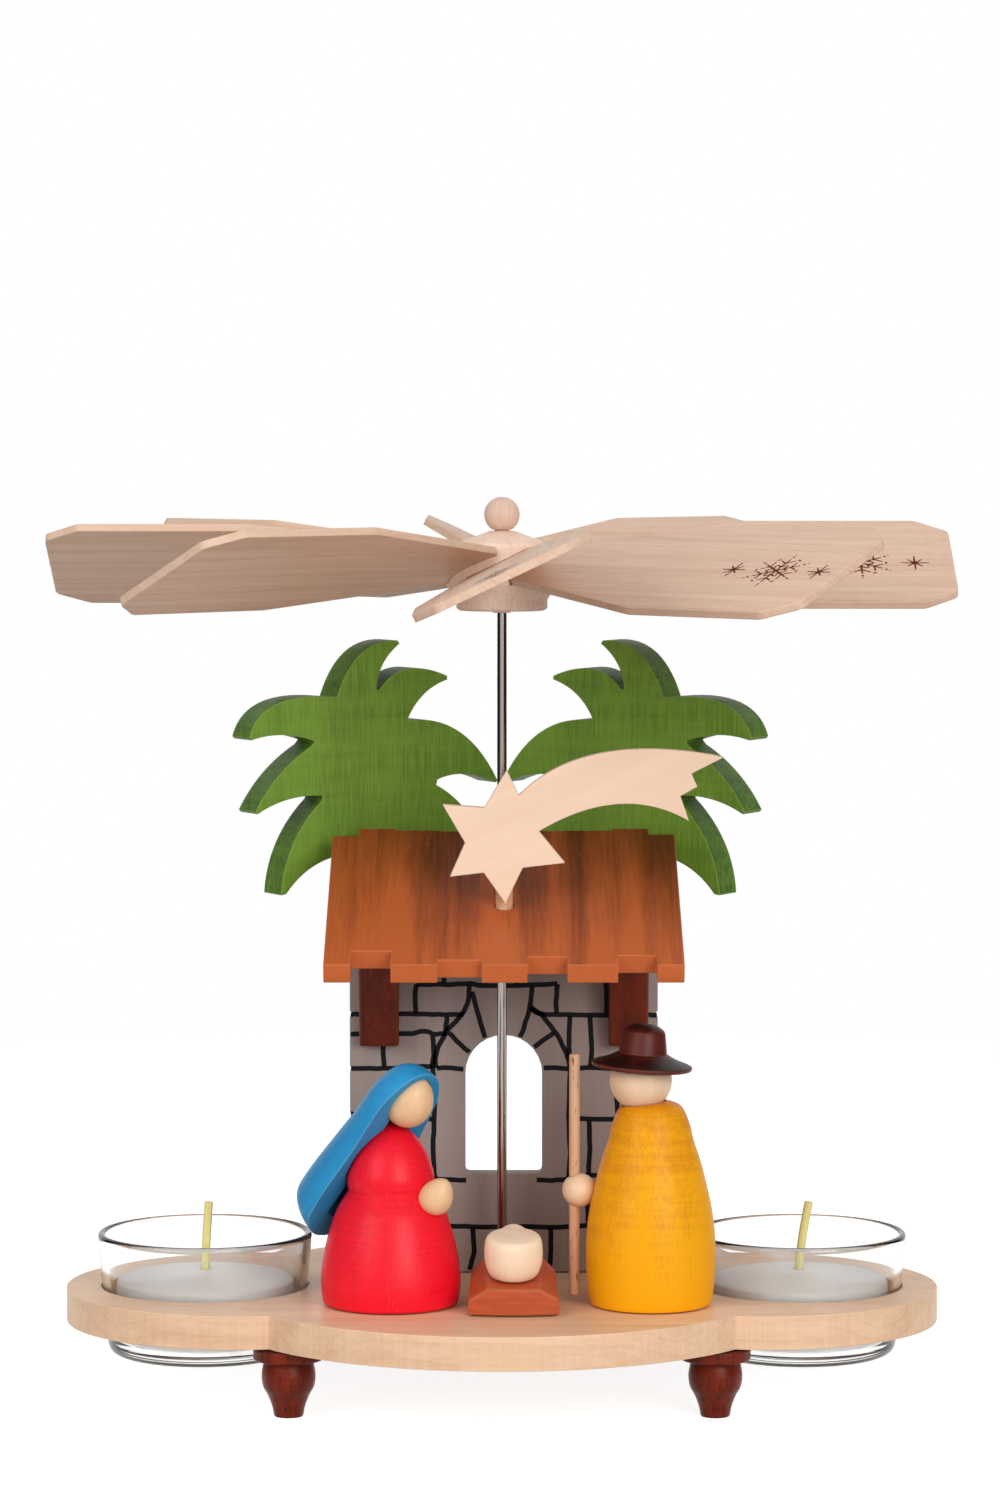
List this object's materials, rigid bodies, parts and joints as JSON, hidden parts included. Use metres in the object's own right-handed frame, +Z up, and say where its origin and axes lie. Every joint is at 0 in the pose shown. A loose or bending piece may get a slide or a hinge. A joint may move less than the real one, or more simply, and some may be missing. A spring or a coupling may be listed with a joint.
{
  "type": "candle carousel",
  "caption": "Wooden candle carousel: an impeller on a steel shaft turns over a small stable with figures, palms and a comet star, on a lobed board that holds two tealight glasses.",
  "frame": {"origin": "on the table under the shaft, at the middle of the bounding box's foot", "axes": "+X to the right, +Y to the back, +Z up along the shaft"},
  "size_m": [0.188, 0.188, 0.1867],
  "materials": {
    "beech": "raw beech, fine grain",
    "oiled_beech": "oiled beech",
    "red_brown_stain": "dark red-brown stain, satin",
    "roof_stain": "brown-red stain, satin",
    "stone_grey": "grey stain with black block joints, matt",
    "palm_green": "green stain, satin",
    "skin_wood": "lacquered maple",
    "red_stain": "red stain, satin",
    "blue_stain": "blue stain, satin",
    "ochre_stain": "ochre stain, satin",
    "hat_brown": "dark brown stain, satin",
    "crib_stain": "orange-brown stain, satin",
    "cream": "cream stain, satin",
    "steel": "drawn steel",
    "brass": "turned brass",
    "wax": "paraffin wax",
    "cotton": "waxed cotton",
    "clear_glass": "clear pressed glass"
  },
  "bodies": {
    "carousel": {"base_board": "oiled_beech", "foot_front_left": "red_brown_stain", "foot_front_right": "red_brown_stain", "foot_rear_left": "red_brown_stain", "foot_rear_right": "red_brown_stain", "bearing_cup": "brass", "wall": "stone_grey", "roof": "roof_stain", "bracket_left": "red_brown_stain", "bracket_right": "red_brown_stain", "comet_star": "beech", "star_dowel": "beech", "palm_crown_left": "palm_green", "palm_trunk_left": "red_brown_stain", "palm_crown_right": "palm_green", "palm_trunk_right": "red_brown_stain", "woman_body": "red_stain", "woman_head": "skin_wood", "woman_veil": "blue_stain", "woman_hand": "skin_wood", "man_body": "ochre_stain", "man_head": "skin_wood", "man_hat": "hat_brown", "man_hand": "skin_wood", "man_staff": "beech", "crib": "crib_stain", "child_body": "cream", "child_head": "cream"},
    "impeller": {"shaft": "steel", "hub": "beech", "knob": "beech", "blade_1": "beech", "blade_2": "beech", "blade_3": "beech", "blade_4": "beech", "blade_5": "beech", "blade_6": "beech", "blade_7": "beech", "blade_8": "beech"},
    "glass_left": {"glass_left": "clear_glass"},
    "candle_left": {"candle_wax_left": "wax", "wick_left": "cotton", "wick_tab_left": "steel"},
    "glass_right": {"glass_right": "clear_glass"},
    "candle_right": {"candle_wax_right": "wax", "wick_right": "cotton", "wick_tab_right": "steel"}
  },
  "joints": [
    {"name": "impeller_spin", "type": "hinge", "parent": "carousel", "child": "impeller", "pos_m": [0, 0, 0.0185], "axis": [0, 0, 1], "continuous": true},
    {"name": "glass_left_lift", "type": "slide", "parent": "carousel", "child": "glass_left", "axis": [0, 0, 1], "range_m": [0, 0.03]},
    {"name": "candle_left_lift", "type": "slide", "parent": "glass_left", "child": "candle_left", "axis": [0, 0, 1], "range_m": [0, 0.03]},
    {"name": "glass_right_lift", "type": "slide", "parent": "carousel", "child": "glass_right", "axis": [0, 0, 1], "range_m": [0, 0.03]},
    {"name": "candle_right_lift", "type": "slide", "parent": "glass_right", "child": "candle_right", "axis": [0, 0, 1], "range_m": [0, 0.03]}
  ]
}
